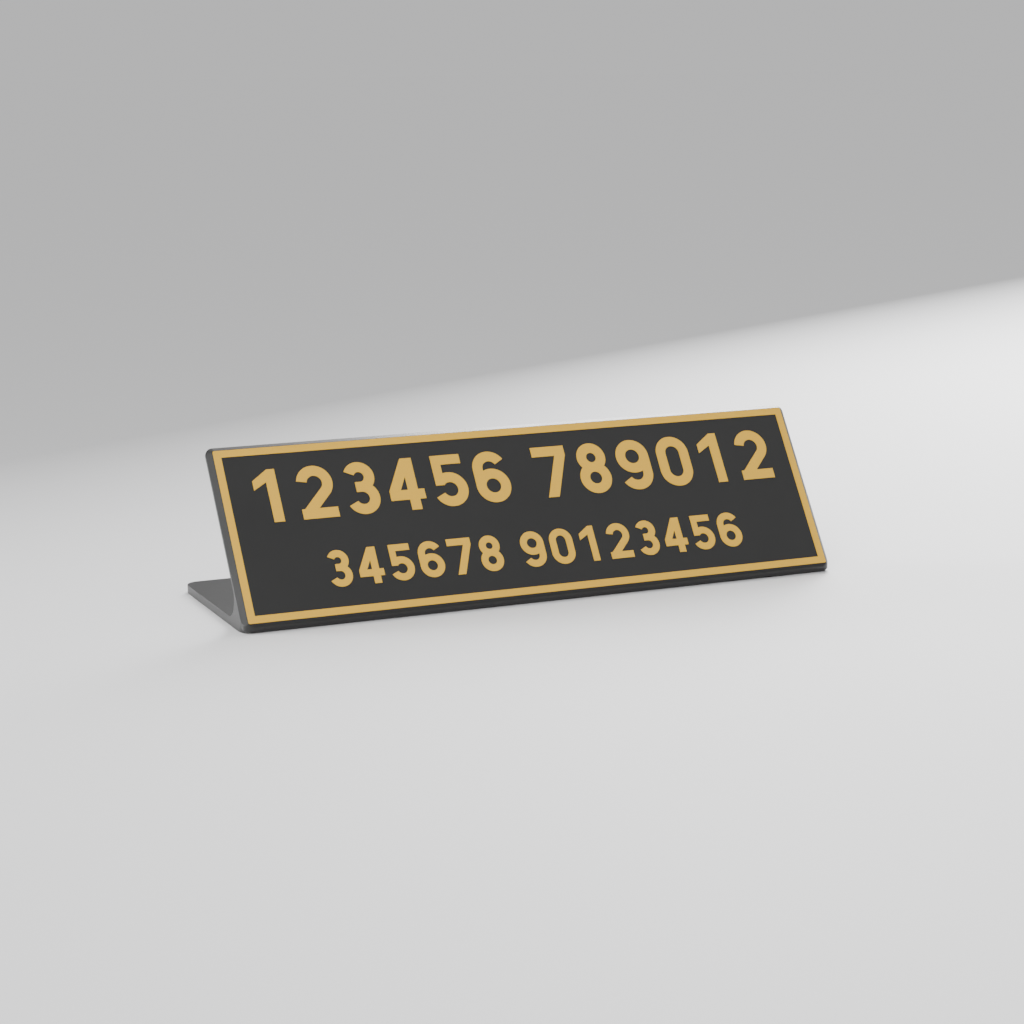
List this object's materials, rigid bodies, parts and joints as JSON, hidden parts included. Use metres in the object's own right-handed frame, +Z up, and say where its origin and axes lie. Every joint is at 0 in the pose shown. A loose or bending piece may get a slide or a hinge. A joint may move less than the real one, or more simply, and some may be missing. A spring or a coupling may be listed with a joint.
{
  "type": "desk name plate",
  "caption": "Free-standing desk plate: a black sheet bent into a V, with a leaning face that carries a flush gold border and two rows of inlaid gold numerals.",
  "frame": {"origin": "on the desk, under the middle of the plate's box", "axes": "+X to the reader's right along the plate, +Y back under the leaning face, +Z up"},
  "size_m": [0.2, 0.0608, 0.0498],
  "materials": {
    "black_sheet": "satin",
    "gold_inlay": "matte gold"
  },
  "bodies": {
    "root": {"stand": "black_sheet", "border": "gold_inlay", "upper_numeral_01": "gold_inlay", "upper_numeral_02": "gold_inlay", "upper_numeral_03": "gold_inlay", "upper_numeral_04": "gold_inlay", "upper_numeral_05": "gold_inlay", "upper_numeral_06": "gold_inlay", "upper_numeral_07": "gold_inlay", "upper_numeral_08": "gold_inlay", "upper_numeral_09": "gold_inlay", "upper_numeral_10": "gold_inlay", "upper_numeral_11": "gold_inlay", "upper_numeral_12": "gold_inlay", "lower_numeral_01": "gold_inlay", "lower_numeral_02": "gold_inlay", "lower_numeral_03": "gold_inlay", "lower_numeral_04": "gold_inlay", "lower_numeral_05": "gold_inlay", "lower_numeral_06": "gold_inlay", "lower_numeral_07": "gold_inlay", "lower_numeral_08": "gold_inlay", "lower_numeral_09": "gold_inlay", "lower_numeral_10": "gold_inlay", "lower_numeral_11": "gold_inlay", "lower_numeral_12": "gold_inlay", "lower_numeral_13": "gold_inlay", "lower_numeral_14": "gold_inlay"}
  },
  "joints": []
}
